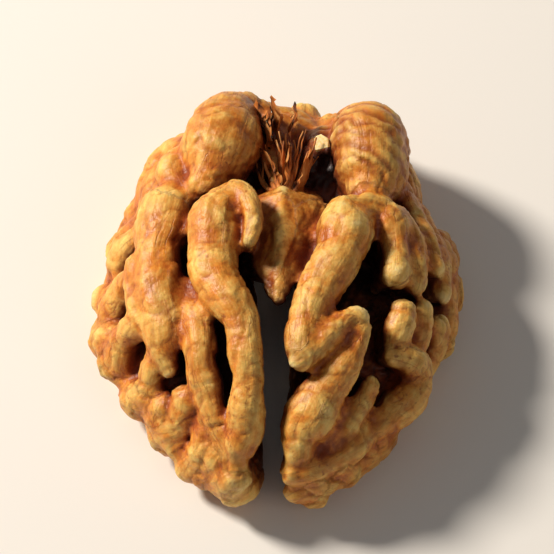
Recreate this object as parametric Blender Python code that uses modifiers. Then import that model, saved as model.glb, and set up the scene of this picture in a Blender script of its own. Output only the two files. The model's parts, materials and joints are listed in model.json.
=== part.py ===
"""Walnut kernel half, shelled: one grown piece, two folded lobes joined at one end.

Frame: metres, +Z up, origin at the centre of the resting face. The kernel lies on
its flat inner side, ridged side up, with the joined end towards +Y.
Routes and radii below are in millimetres; the finished mesh is scaled once.
"""
import math

import bmesh
import bpy
from mathutils import Vector, noise

MM = 0.001

# Driving dimensions of the domed outer side.
HALF_WIDTH = 13.7
HALF_LENGTH = 16.4
RIM_HEIGHT = 4.2
CROWN_HEIGHT = 10.5
UNDER_DEPTH = 3.9
FREE_END_TAPER = 0.20
JOINED_END_TAPER = 0.14
REST_CUT = 2.18
CENTRE_SHIFT = (-0.22, -0.15)

# How finely the body is skinned and how many triangles are left.
SKIN_VOXEL = 0.36
SKIN_SMOOTHING = 4
KEPT_SHARE = 0.18

WALL_STEP = 1.3
LUMP_SHIFT = 0.40
LUMP_SWELL = 0.22
LUMP_SEED = 7

# Routes on the dome: (across, along, radius, extra sink). The first two place the
# point, 0 at the crown and 1 at the rim; more than 1 wraps under the rim.
LEFT_FOLDS = [
    # long S-shaped ridge beside the groove
    [(-0.145, 0.17, 1.75), (-0.20, 0.11, 1.85), (-0.215, 0.03, 1.8), (-0.205, -0.05, 1.6),
     (-0.175, -0.12, 1.5), (-0.13, -0.20, 1.35), (-0.10, -0.28, 1.2), (-0.09, -0.37, 1.12),
     (-0.095, -0.46, 1.15), (-0.12, -0.56, 1.25), (-0.17, -0.66, 1.3), (-0.19, -0.74, 1.1, 0.4)],
    # its thin edge, folded back down from the head towards the groove
    [(-0.13, 0.19, 1.2), (-0.085, 0.16, 1.0), (-0.065, 0.09, 0.75, 0.2), (-0.075, 0.01, 0.6, 0.5)],
    # beaded inner ridge, joined to it at the free end
    [(-0.315, -0.08, 0.8, 1.9), (-0.305, -0.15, 1.0, 1.4), (-0.295, -0.22, 1.2, 0.9),
     (-0.285, -0.29, 1.35, 0.6), (-0.285, -0.36, 1.15, 0.7), (-0.28, -0.43, 1.4, 0.5),
     (-0.275, -0.50, 1.2, 0.6), (-0.265, -0.57, 1.4, 0.4), (-0.225, -0.66, 1.3, 0.3)],
    # broad beaded outer fold with a round head
    [(-0.43, 0.22, 2.1), (-0.45, 0.12, 2.4), (-0.435, 0.03, 1.7, 0.2), (-0.445, -0.05, 1.95, 0.1),
     (-0.445, -0.13, 1.55, 0.4), (-0.455, -0.22, 1.7, 0.3), (-0.455, -0.30, 1.35, 0.6),
     (-0.45, -0.36, 1.1, 1.0)],
    [(-0.57, 0.02, 0.9, 0.5), (-0.575, -0.06, 1.0, 0.4), (-0.56, -0.14, 0.9, 0.4)],
    # knob on the outer side
    [(-0.87, -0.30, 1.8), (-0.79, -0.27, 1.55), (-0.68, -0.22, 1.1, 0.3), (-0.56, -0.19, 1.3, 0.3)],
    [(-0.55, -0.35, 1.0, 0.9), (-0.63, -0.425, 1.15, 0.6), (-0.73, -0.47, 1.3, 0.4),
     (-0.84, -0.475, 1.3, 0.2)],
    [(-0.42, -0.49, 1.0, 1.0), (-0.48, -0.56, 1.15, 0.8), (-0.57, -0.62, 1.25, 0.5),
     (-0.67, -0.67, 1.2, 0.2)],
    [(-0.35, -0.61, 0.9, 1.1), (-0.38, -0.70, 1.1, 0.6), (-0.46, -0.78, 1.15, 0.3),
     (-0.54, -0.84, 1.1)],
    [(-0.28, -0.78, 1.1, 0.5), (-0.27, -0.86, 1.3, 0.1), (-0.34, -0.92, 1.2)],
    [(-0.66, -0.01, 1.1, 1.3), (-0.76, -0.03, 1.3, 1.2), (-0.88, -0.07, 1.3, 0.9)],
    [(-0.64, 0.18, 1.1, 1.4), (-0.75, 0.18, 1.3, 1.4), (-0.88, 0.15, 1.3, 1.2)],
]
RIGHT_FOLDS = [
    # zigzag: down beside the groove, back out to a thin tip, down again
    [(0.265, 0.135, 1.9), (0.24, 0.07, 2.0), (0.205, -0.01, 1.85), (0.165, -0.09, 1.85),
     (0.13, -0.18, 1.65), (0.11, -0.26, 1.45), (0.105, -0.32, 1.2)],
    [(0.105, -0.335, 1.1), (0.16, -0.30, 1.1), (0.22, -0.255, 0.95), (0.285, -0.205, 0.75),
     (0.31, -0.205, 0.6)],
    [(0.325, -0.24, 0.7), (0.30, -0.32, 1.05), (0.25, -0.40, 1.45), (0.195, -0.475, 1.85),
     (0.155, -0.55, 1.9), (0.125, -0.63, 1.65), (0.12, -0.70, 1.2)],
    [(0.425, -0.43, 0.8, 0.9), (0.405, -0.51, 1.0, 0.8), (0.345, -0.60, 1.05, 0.8),
     (0.275, -0.68, 0.9, 0.7)],
    [(0.49, -0.55, 0.7, 2.2), (0.47, -0.63, 0.9, 2.0), (0.40, -0.70, 0.9, 1.7)],
    # lip across the free end
    [(0.10, -0.80, 1.0), (0.17, -0.795, 1.15), (0.28, -0.76, 1.2), (0.40, -0.69, 1.1, 0.2),
     (0.47, -0.63, 0.8, 0.6)],
    [(0.14, -0.91, 1.0), (0.22, -0.89, 1.2), (0.32, -0.87, 1.1, 0.3)],
    # two hanging lobes beside the deep hollow
    [(0.34, 0.17, 1.0), (0.40, 0.17, 1.35), (0.455, 0.11, 1.35), (0.455, 0.03, 1.1),
     (0.45, -0.045, 1.15)],
    [(0.48, 0.17, 0.9, 0.3), (0.545, 0.09, 0.95, 0.2), (0.56, -0.06, 0.9, 0.3)],
    # small ridges and the ear-shaped fold below them
    [(0.51, -0.165, 0.95, 0.2), (0.515, -0.22, 1.05, 0.2), (0.515, -0.275, 0.8, 0.5)],
    [(0.645, -0.14, 0.9, 0.2), (0.655, -0.20, 1.0, 0.1), (0.65, -0.25, 0.8, 0.4)],
    [(0.51, -0.325, 0.8, 0.3), (0.59, -0.325, 1.1, -0.3), (0.67, -0.375, 1.35, -0.6),
     (0.675, -0.455, 1.5, -0.7), (0.61, -0.545, 1.4, -0.4), (0.54, -0.60, 0.95, 0.1)],
    # thin upright plates along the outer side
    [(0.61, 0.38, 0.8, 0.5), (0.62, 0.27, 0.85, 0.3), (0.65, 0.16, 0.8, 0.2), (0.665, 0.03, 0.75, 0.2)],
    [(0.71, 0.32, 0.8, 0.4), (0.75, 0.21, 0.8, 0.3), (0.765, 0.08, 0.8, 0.2), (0.765, -0.05, 0.75, 0.3)],
    [(0.80, -0.17, 1.0, 0.4), (0.86, -0.27, 1.1, 0.5), (0.88, -0.38, 1.1, 0.8)],
    [(0.83, 0.24, 1.0, 0.2), (0.87, 0.11, 1.05, 0.2), (0.89, -0.02, 1.0, 0.2), (0.92, -0.13, 1.0, 0.2)],
    [(0.61, -0.69, 1.2, 0.6), (0.72, -0.63, 1.3, 0.6), (0.82, -0.57, 1.2, 0.5)],
    [(0.44, -0.83, 1.2, 0.2), (0.55, -0.80, 1.3, 0.2), (0.66, -0.75, 1.2, 0.2)],
]
JOINED_END_FOLDS = [
    # left rounded bulge with its smaller neighbours
    [(-0.20, 0.70, 2.0, -0.6), (-0.215, 0.60, 2.4, -1.2), (-0.22, 0.50, 2.7, -1.3),
     (-0.22, 0.41, 2.5, -0.8), (-0.24, 0.33, 1.9, 0.0), (-0.27, 0.27, 1.4, 0.5)],
    [(-0.40, 0.44, 1.2, 0.2), (-0.415, 0.36, 1.45), (-0.375, 0.28, 1.1, 0.5)],
    [(-0.40, 0.62, 1.4, 0.7), (-0.49, 0.55, 1.5, 0.7), (-0.57, 0.43, 1.4, 0.9), (-0.60, 0.32, 1.2, 1.3)],
    [(-0.32, 0.77, 1.6, 0.4), (-0.46, 0.73, 1.6, 0.7), (-0.60, 0.62, 1.4, 0.9)],
    # right, larger bulge with its smaller neighbours
    [(0.395, 0.67, 2.0, -1.1), (0.395, 0.585, 2.4, -1.9), (0.40, 0.50, 2.75, -2.2),
     (0.40, 0.415, 2.75, -1.6), (0.385, 0.33, 2.3, -0.6), (0.365, 0.27, 1.7, 0.2)],
    [(0.58, 0.60, 1.3, 0.7), (0.66, 0.52, 1.3, 0.7), (0.72, 0.43, 1.2, 0.7)],
    [(0.36, 0.82, 1.6, 0.1), (0.50, 0.79, 1.6, 0.3), (0.62, 0.71, 1.4, 0.5), (0.73, 0.60, 1.3, 0.5)],
]
# Ribs that run over the rim: (compass angle, [(reach, turn, radius, extra sink), ...]).
RIBS = [
    (-104, [(0.84, 0, 1.2), (1.0, -2, 1.4), (1.34, 2, 1.3)]),
    (-116, [(0.80, 3, 1.1, 0.3), (0.98, 0, 1.5), (1.34, -3, 1.3)]),
    (-136, [(0.78, -2, 1.3, 0.5), (0.97, 0, 1.6, 0.3), (1.34, 4, 1.4)]),
    (-149, [(0.82, 3, 1.2, 0.3), (0.98, 0, 1.5, 0.2), (1.34, 0, 1.3)]),
    (-167, [(0.84, 2, 1.3, 0.5), (1.0, -1, 1.6, 0.3), (1.34, -4, 1.4)]),
    (-182, [(0.86, 1, 1.2, 1.6), (1.0, 2, 1.5, 1.3), (1.34, 0, 1.3)]),
    (-199, [(0.80, -4, 1.3, 1.8), (0.98, 0, 1.6, 1.7), (1.34, 3, 1.4)]),
    (-212, [(0.72, -4, 1.3, 1.6), (0.88, 0, 1.5, 1.8), (1.02, 1, 1.5, 1.5), (1.34, 2, 1.4)]),
    (-232, [(0.74, 3, 1.3, 1.2), (0.88, 0, 1.5, 1.2), (1.02, -1, 1.5, 1.0), (1.34, 0, 1.3)]),
    (-247, [(0.82, 0, 1.5, 0.3), (0.94, 0, 1.7, 0.2), (1.06, 2, 1.5), (1.34, 3, 1.3)]),
    (-257, [(0.78, -2, 1.6, -0.2), (0.94, 0, 1.8), (1.1, 0, 1.4)]),
    (-75, [(0.86, 0, 1.1), (1.0, 0, 1.3), (1.34, -2, 1.3)]),
    (-63, [(0.84, -3, 1.2), (0.98, 0, 1.5), (1.34, 3, 1.3)]),
    (-45, [(0.86, 3, 1.2, 1.2), (0.97, 0, 1.4, 0.9), (1.34, -2, 1.4)]),
    (-31, [(0.88, -3, 1.1, 1.7), (0.98, 1, 1.3, 1.2), (1.34, 0, 1.3)]),
    (-13, [(0.92, 0, 1.1, 0.7), (1.0, 1, 1.4, 0.4), (1.34, 3, 1.4)]),
    (3, [(0.92, 1, 1.2), (1.0, -1, 1.4), (1.34, 0, 1.3)]),
    (15, [(0.90, 2, 1.2), (1.0, 0, 1.5), (1.34, -3, 1.4)]),
    (33, [(0.84, 2, 1.3, 0.5), (0.94, 0, 1.6, 0.4), (1.05, 0, 1.5, 0.2), (1.34, -1, 1.3)]),
    (47, [(0.84, -3, 1.4, 0.4), (0.92, 0, 1.6, 0.3), (1.04, 1, 1.6, 0.2), (1.34, 0, 1.3)]),
    (61, [(0.76, 0, 1.7, -0.3), (0.90, 0, 1.9, -0.1), (1.06, -2, 1.5), (1.34, -3, 1.3)]),
    (80, [(0.86, 2, 1.1, 1.8), (0.96, 0, 1.3, 1.2), (1.1, 0, 1.3)]),
]
# Lip turned in under each side, out from the groove's free end to the joined end.
LIPS = [
    [(-0.32, -1.38, 1.2), (-0.66, -1.20, 1.3), (-1.02, -0.90, 1.2), (-1.26, -0.50, 1.4),
     (-1.36, -0.06, 1.3), (-1.30, 0.36, 1.4), (-1.08, 0.76, 1.3), (-0.72, 1.10, 1.4),
     (-0.30, 1.26, 1.3)],
    [(0.28, -1.38, 1.2), (0.66, -1.20, 1.3), (1.04, -0.90, 1.2), (1.28, -0.46, 1.4),
     (1.36, 0.0, 1.3), (1.28, 0.42, 1.4), (1.06, 0.80, 1.3), (0.74, 1.08, 1.4),
     (0.40, 1.24, 1.3)],
]
# Solid masses the folds stand on: centre, half sizes.
CORES = [
    ((-6.0, -4.2, 5.0), (4.0, 8.6, 2.6)),
    ((6.1, -4.4, 5.0), (4.0, 8.6, 2.6)),
    ((-5.4, 7.4, 6.0), (4.6, 5.6, 3.0)),
    ((5.8, 7.2, 6.0), (4.8, 5.8, 3.0)),
    ((0.3, 5.2, 6.2), (4.8, 4.4, 2.4)),
    ((0.4, 11.6, 6.0), (3.4, 3.4, 2.2)),
]
# Strands left in the hollow between the two bulges: x, y, z, radius.
FIBRES = [
    [(-1.2, 12.6, 7.6, 0.7), (-0.8, 11.0, 8.6, 0.55), (-0.2, 9.2, 9.0, 0.5), (0.1, 7.0, 9.8, 0.6)],
    [(3.3, 12.0, 7.4, 0.8), (3.0, 10.4, 8.5, 0.9), (2.6, 9.0, 8.4, 0.7)],
    [(-0.6, 13.6, 6.6, 1.3), (0.2, 11.0, 6.8, 1.5), (0.6, 8.0, 7.2, 1.6)],
    [(-2.0, 9.6, 8.6, 0.6), (-1.0, 8.6, 8.4, 0.6), (0.2, 7.6, 8.8, 0.6)],
]
# Back of the bridge between the lobes, seen from the inner side.
BRIDGE_BACK = [(-3.6, 9.6, 4.4, 1.6), (-1.2, 8.4, 4.9, 1.9), (1.4, 8.4, 4.9, 1.9),
               (3.8, 9.4, 4.4, 1.6)]
# Keeled wedge that fills the groove next to the bridge, back to tip:
# x, y, z, half width, half height.
EDGE_RADIUS = 0.5
KEELS = [
    [(0.6, 7.2, 8.2, 2.2, 0.9), (0.6, 5.0, 10.2, 3.5, 2.0), (0.5, 2.2, 10.8, 3.1, 1.7),
     (0.35, -0.8, 11.1, 1.9, 1.1), (0.3, -3.4, 11.2, 0.4, 0.4)],
]
# Soft folds across the inner side: where each starts and ends along the kernel.
CROSS_FOLDS = ((-9.6, -10.4), (-5.4, -4.6), (-1.0, 0.2), (3.2, 4.4), (7.6, 9.0))
CROSS_REACH = 0.74


def clear_scene():
    for item in list(bpy.data.objects):
        bpy.data.objects.remove(item)


def add_collection(name):
    group = bpy.data.collections.new(name)
    bpy.context.scene.collection.children.link(group)
    return group


def half_width_at(along):
    """Half width of the outline, drawn in towards both ends."""
    share = along / HALF_LENGTH
    free_end = FREE_END_TAPER * max(0.0, -share) ** 1.6
    joined_end = JOINED_END_TAPER * max(0.0, share) ** 1.6
    return HALF_WIDTH * (1.0 - free_end - joined_end)


def on_dome(across, along, depth=0.0):
    """Point of the dome at a place on its chart, sunk by depth along the normal.

    Close to the groove the sinking stays upright, so that its two walls don't meet.
    """
    turn = math.atan2(along, across)
    tilt = math.hypot(across, along) * math.pi / 2
    flat = math.sin(tilt)
    unit = Vector((math.cos(turn) * flat, math.sin(turn) * flat, math.cos(tilt)))
    rise = CROWN_HEIGHT if unit.z >= 0 else UNDER_DEPTH
    y = HALF_LENGTH * unit.y
    place = Vector((half_width_at(y) * unit.x, y, RIM_HEIGHT + rise * unit.z))
    lean = abs(unit.x) * unit.x / HALF_WIDTH
    normal = Vector((lean, unit.y / HALF_LENGTH, unit.z / rise)).normalized()
    return place - normal * depth


def finer(rows, steps=3):
    """Catmull-Rom points between the rows of a route, row values included."""
    found = []
    last = len(rows) - 1
    for index in range(last):
        before, start, end, after = (rows[max(index - 1, 0)], rows[index],
                                     rows[index + 1], rows[min(index + 2, last)])
        for step in range(steps):
            t = step / steps
            found.append([0.5 * (2 * b + (c - a) * t + (2 * a - 5 * b + 4 * c - d) * t ** 2
                                 + (3 * b - a - 3 * c + d) * t ** 3)
                          for a, b, c, d in zip(before, start, end, after)])
    found.append(list(rows[-1]))
    return found


def lumpy(place, radius):
    """Shift and swell a route point a little, the way grown tissue wanders."""
    swell = noise.noise(place * 0.42 + Vector((3.1, 7.7, 1.3)))
    return place + noise.noise_vector(place * 0.30) * LUMP_SHIFT, radius * (1 + LUMP_SWELL * swell)


def add_curve(rows, group):
    """Round-sectioned curve through rows of (x, y, z, radius)."""
    curve = bpy.data.curves.new("fold", "CURVE")
    curve.dimensions = "3D"
    spline = curve.splines.new("POLY")
    spline.points.add(len(rows) - 1)
    for point, (x, y, z, radius) in zip(spline.points, rows):
        point.co = (x, y, z, 1.0)
        point.radius = radius
    curve.bevel_depth = 1.0
    curve.bevel_resolution = 4
    curve.use_fill_caps = True
    item = bpy.data.objects.new("fold", curve)
    group.objects.link(item)


def add_ball(centre, half_sizes, group, segments=16):
    mesh = bpy.data.meshes.new("mass")
    ball = bmesh.new()
    bmesh.ops.create_uvsphere(ball, u_segments=segments, v_segments=segments // 2, radius=1.0)
    bmesh.ops.scale(ball, vec=half_sizes, verts=ball.verts)
    bmesh.ops.translate(ball, vec=centre, verts=ball.verts)
    ball.to_mesh(mesh)
    ball.free()
    group.objects.link(bpy.data.objects.new("mass", mesh))


def add_rope(rows, group):
    """Lumpy round-ended rope through rows of (x, y, z, radius)."""
    grown = []
    for x, y, z, radius in rows:
        place, swollen = lumpy(Vector((x, y, z)), radius)
        grown.append((*place, swollen))
    add_curve(grown, group)
    for x, y, z, radius in (grown[0], grown[-1]):
        add_ball((x, y, z), (radius, radius, radius), group)


def add_fold(route, group, walls=3, thinning=0.75):
    """Ridge along a dome route, with thinner ropes under it that make its walls."""
    rows = finer([row if len(row) == 4 else (*row, 0.0) for row in route])
    for layer in range(walls + 1):
        rope = []
        for across, along, radius, sink in rows:
            depth = radius + sink + layer * min(0.9 * radius, WALL_STEP)
            rope.append((*on_dome(across, along, depth), radius * thinning ** layer))
        add_rope(rope, group)


def add_rib(angle, route, group):
    """Rib that climbs from the flank over the rim and turns in under it."""
    rows = []
    for reach, turn, *rest in route:
        heading = math.radians(angle + turn)
        rows.append((reach * math.cos(heading), reach * math.sin(heading), *rest))
    add_fold(rows, group, walls=1, thinning=0.9)


def add_keel(stations, group):
    """Wedge of four-sided sections with one edge up, softened by a rope along it."""
    wedge = bmesh.new()
    rings = []
    for x, y, z, half_width, half_height in stations:
        ring = [(x, y, z + half_height), (x - half_width, y, z), (x, y, z - 2 * half_height),
                (x + half_width, y, z)]
        rings.append([wedge.verts.new(corner) for corner in ring])
    wedge.faces.new(rings[0])
    wedge.faces.new(rings[-1])
    for ring, following in zip(rings, rings[1:]):
        for index in range(4):
            after = (index + 1) % 4
            wedge.faces.new((ring[index], ring[after], following[after], following[index]))
    bmesh.ops.recalc_face_normals(wedge, faces=wedge.faces)
    mesh = bpy.data.meshes.new("keel")
    wedge.to_mesh(mesh)
    wedge.free()
    group.objects.link(bpy.data.objects.new("keel", mesh))
    add_curve([(x, y, z + half_height - EDGE_RADIUS, EDGE_RADIUS)
               for x, y, z, half_width, half_height in stations], group)


def add_underside(group):
    """Inner side: turned-in lips, groove margins and soft cross folds."""
    for route in LIPS:
        add_fold(route, group, walls=1, thinning=0.9)
    for side in (-1, 1):
        margin = [(side * 2.3, -13.4, 3.8, 1.1), (side * 2.1, -11.0, 3.6, 1.3),
                  (side * 2.4, -7.0, 3.5, 1.2), (side * 2.2, -3.0, 3.6, 1.4),
                  (side * 2.6, 1.0, 3.6, 1.3), (side * 3.0, 4.4, 3.8, 1.4)]
        add_rope(finer(margin), group)
        for start, end in CROSS_FOLDS:
            middle = (start + end) / 2 + 0.8
            reach = CROSS_REACH * half_width_at(end) * math.sqrt(1 - (end / HALF_LENGTH) ** 2)
            cross = [(side * 2.8, start, 4.4, 1.2), (side * reach * 0.6, middle, 4.2, 1.4),
                     (side * reach, end, 4.0, 1.3)]
            add_rope(finer(cross), group)
    add_rope(finer(BRIDGE_BACK), group)


def join_pieces(group, name):
    """Gather every rope and mass into one mesh, set on the floor and in metres."""
    bpy.context.view_layer.update()
    graph = bpy.context.evaluated_depsgraph_get()
    body = bmesh.new()
    for item in list(group.objects):
        mesh = bpy.data.meshes.new_from_object(item.evaluated_get(graph))
        body.from_mesh(mesh)
        bpy.data.meshes.remove(mesh)
        bpy.data.objects.remove(item)
    bmesh.ops.remove_doubles(body, verts=body.verts, dist=1e-5)
    bmesh.ops.translate(body, vec=(*CENTRE_SHIFT, -REST_CUT), verts=body.verts)
    bmesh.ops.scale(body, vec=(MM, MM, MM), verts=body.verts)
    mesh = bpy.data.meshes.new(name)
    body.to_mesh(mesh)
    body.free()
    kernel = bpy.data.objects.new(name, mesh)
    group.objects.link(kernel)
    return kernel


def add_rest_cutter(group):
    """Box whose top face is the plane that the kernel rests on."""
    mesh = bpy.data.meshes.new("rest_cutter")
    box = bmesh.new()
    bmesh.ops.create_cube(box, size=1.0)
    bmesh.ops.scale(box, vec=(0.05, 0.05, 0.01), verts=box.verts)
    bmesh.ops.translate(box, vec=(0, 0, -0.005), verts=box.verts)
    box.to_mesh(mesh)
    box.free()
    cutter = bpy.data.objects.new("rest_cutter", mesh)
    cutter.hide_render = True
    cutter.display_type = "WIRE"
    group.objects.link(cutter)
    return cutter


def skin(kernel, cutter):
    """Fuse the ropes under one skin, soften it, thin the mesh, flatten the rest."""
    fuse = kernel.modifiers.new("fuse", "REMESH")
    fuse.mode = "VOXEL"
    fuse.voxel_size = SKIN_VOXEL * MM
    soften = kernel.modifiers.new("soften", "SMOOTH")
    soften.factor = 0.5
    soften.iterations = SKIN_SMOOTHING
    thin = kernel.modifiers.new("thin", "DECIMATE")
    thin.ratio = KEPT_SHARE
    rest = kernel.modifiers.new("rest", "BOOLEAN")
    rest.operation = "DIFFERENCE"
    rest.solver = "EXACT"
    rest.object = cutter


def skin_material():
    """Thin tan seed coat, slightly waxy."""
    material = bpy.data.materials.new("walnut_seed_coat")
    material.use_nodes = True
    shader = material.node_tree.nodes["Principled BSDF"]
    shader.inputs["Base Color"].default_value = (0.50, 0.26, 0.085, 1.0)
    shader.inputs["Roughness"].default_value = 0.48
    shader.inputs["Metallic"].default_value = 0.0
    return material


def build_kernel():
    noise.seed_set(LUMP_SEED)
    kernel_group = add_collection("walnut_kernel_half")
    cutter_group = add_collection("cutters")
    for centre, half_sizes in CORES:
        add_ball(centre, half_sizes, kernel_group, segments=32)
    for route in LEFT_FOLDS + RIGHT_FOLDS + JOINED_END_FOLDS:
        add_fold(route, kernel_group)
    for angle, route in RIBS:
        add_rib(angle, route, kernel_group)
    for keel in KEELS:
        add_keel(keel, kernel_group)
    for fibre in FIBRES:
        add_rope(finer(fibre), kernel_group)
    add_underside(kernel_group)
    kernel = join_pieces(kernel_group, "kernel")
    kernel.data.materials.append(skin_material())
    skin(kernel, add_rest_cutter(cutter_group))


clear_scene()
build_kernel()
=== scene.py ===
"""Shelled walnut kernel half, lying ridged side up on a pale board.

Routes, radii and depths are in millimetres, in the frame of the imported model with
+Z up and the joined end of the kernel towards +Y. Every finished mesh is in metres.
"""
import json
import math
import random

import bmesh
import bpy
import numpy as np
from bpy.props import FloatProperty, IntProperty, PointerProperty, StringProperty
from mathutils import Matrix, Vector, noise
from mathutils.bvhtree import BVHTree
from mathutils.kdtree import KDTree

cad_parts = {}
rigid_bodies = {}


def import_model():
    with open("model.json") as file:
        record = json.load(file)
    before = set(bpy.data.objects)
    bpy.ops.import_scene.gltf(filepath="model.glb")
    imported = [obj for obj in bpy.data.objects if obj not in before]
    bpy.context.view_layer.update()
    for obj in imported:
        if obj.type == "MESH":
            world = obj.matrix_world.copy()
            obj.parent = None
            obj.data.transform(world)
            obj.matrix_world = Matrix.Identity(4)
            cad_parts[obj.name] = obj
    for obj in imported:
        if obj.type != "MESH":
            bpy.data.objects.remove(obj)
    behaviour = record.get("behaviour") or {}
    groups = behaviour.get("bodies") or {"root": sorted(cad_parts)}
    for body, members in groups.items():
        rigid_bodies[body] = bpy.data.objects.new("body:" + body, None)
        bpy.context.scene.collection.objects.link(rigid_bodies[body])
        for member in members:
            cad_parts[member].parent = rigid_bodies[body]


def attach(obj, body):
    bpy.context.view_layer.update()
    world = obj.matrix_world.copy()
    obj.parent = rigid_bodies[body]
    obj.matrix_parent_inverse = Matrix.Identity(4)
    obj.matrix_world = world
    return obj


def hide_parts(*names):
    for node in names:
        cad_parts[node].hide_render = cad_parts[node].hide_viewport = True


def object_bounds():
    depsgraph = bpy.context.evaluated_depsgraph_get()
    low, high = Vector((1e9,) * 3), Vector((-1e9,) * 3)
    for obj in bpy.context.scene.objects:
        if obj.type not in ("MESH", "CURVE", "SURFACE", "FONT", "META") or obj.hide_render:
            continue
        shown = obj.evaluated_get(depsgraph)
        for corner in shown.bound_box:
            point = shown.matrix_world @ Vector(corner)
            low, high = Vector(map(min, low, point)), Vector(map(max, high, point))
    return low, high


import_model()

bl_info = {
    "name": "Walnut kernel half",
    "version": (1, 0, 0),
    "blender": (4, 5, 0),
    "location": "3D View > Sidebar > Walnut",
    "description": "Grows a shelled walnut kernel half with its seed coat and fibres",
    "category": "Add Mesh",
}

CAD_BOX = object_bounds()
MM = 0.001

# The dome that the folds lie on, and how the finished kernel is set on its rest plane.
HALF_WIDTH = 13.7
HALF_LENGTH = 16.4
RIM_HEIGHT = 4.2
CROWN_HEIGHT = 10.5
UNDER_DEPTH = 3.9
FREE_END_TAPER = 0.20
JOINED_END_TAPER = 0.14
REST_CUT = 2.18
CENTRE_SHIFT = (-0.22, -0.15)
WALL_STEP = 1.3
LUMP_SHIFT = 0.40
LUMP_SWELL = 0.22
LUMP_SEED = 7

# Routes on the dome: (across, along, radius, extra sink). The first two place the
# point, 0 at the crown and 1 at the rim; more than 1 wraps under the rim.
LEFT_FOLDS = [
    # long S-shaped ridge beside the groove
    [(-0.145, 0.17, 1.75), (-0.20, 0.11, 1.85), (-0.215, 0.03, 1.8), (-0.205, -0.05, 1.6),
     (-0.175, -0.12, 1.5), (-0.13, -0.20, 1.35), (-0.10, -0.28, 1.2), (-0.09, -0.37, 1.12),
     (-0.095, -0.46, 1.15), (-0.12, -0.56, 1.25), (-0.17, -0.66, 1.3), (-0.19, -0.74, 1.1, 0.4)],
    # its thin edge, folded back down from the head towards the groove
    [(-0.13, 0.19, 1.2), (-0.085, 0.16, 1.0), (-0.065, 0.09, 0.75, 0.2), (-0.075, 0.01, 0.6, 0.5)],
    # beaded inner ridge, joined to it at the free end
    [(-0.315, -0.08, 0.8, 1.9), (-0.305, -0.15, 1.0, 1.4), (-0.295, -0.22, 1.2, 0.9),
     (-0.285, -0.29, 1.35, 0.6), (-0.285, -0.36, 1.15, 0.7), (-0.28, -0.43, 1.4, 0.5),
     (-0.275, -0.50, 1.2, 0.6), (-0.265, -0.57, 1.4, 0.4), (-0.225, -0.66, 1.3, 0.3)],
    # broad beaded outer fold with a round head
    [(-0.43, 0.22, 2.1), (-0.45, 0.12, 2.4), (-0.435, 0.03, 1.7, 0.2), (-0.445, -0.05, 1.95, 0.1),
     (-0.445, -0.13, 1.55, 0.4), (-0.455, -0.22, 1.7, 0.3), (-0.455, -0.30, 1.35, 0.6),
     (-0.45, -0.36, 1.1, 1.0)],
    [(-0.57, 0.02, 0.9, 0.5), (-0.575, -0.06, 1.0, 0.4), (-0.56, -0.14, 0.9, 0.4)],
    # knob on the outer side
    [(-0.87, -0.30, 1.8), (-0.79, -0.27, 1.55), (-0.68, -0.22, 1.1, 0.3), (-0.56, -0.19, 1.3, 0.3)],
    [(-0.55, -0.35, 1.0, 0.9), (-0.63, -0.425, 1.15, 0.6), (-0.73, -0.47, 1.3, 0.4),
     (-0.84, -0.475, 1.3, 0.2)],
    [(-0.42, -0.49, 1.0, 1.0), (-0.48, -0.56, 1.15, 0.8), (-0.57, -0.62, 1.25, 0.5),
     (-0.67, -0.67, 1.2, 0.2)],
    [(-0.35, -0.61, 0.9, 1.1), (-0.38, -0.70, 1.1, 0.6), (-0.46, -0.78, 1.15, 0.3),
     (-0.54, -0.84, 1.1)],
    [(-0.28, -0.78, 1.1, 0.5), (-0.27, -0.86, 1.3, 0.1), (-0.34, -0.92, 1.2)],
    [(-0.66, -0.01, 1.1, 1.3), (-0.76, -0.03, 1.3, 1.2), (-0.88, -0.07, 1.3, 0.9)],
    [(-0.64, 0.18, 1.1, 1.4), (-0.75, 0.18, 1.3, 1.4), (-0.88, 0.15, 1.3, 1.2)],
]
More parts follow.
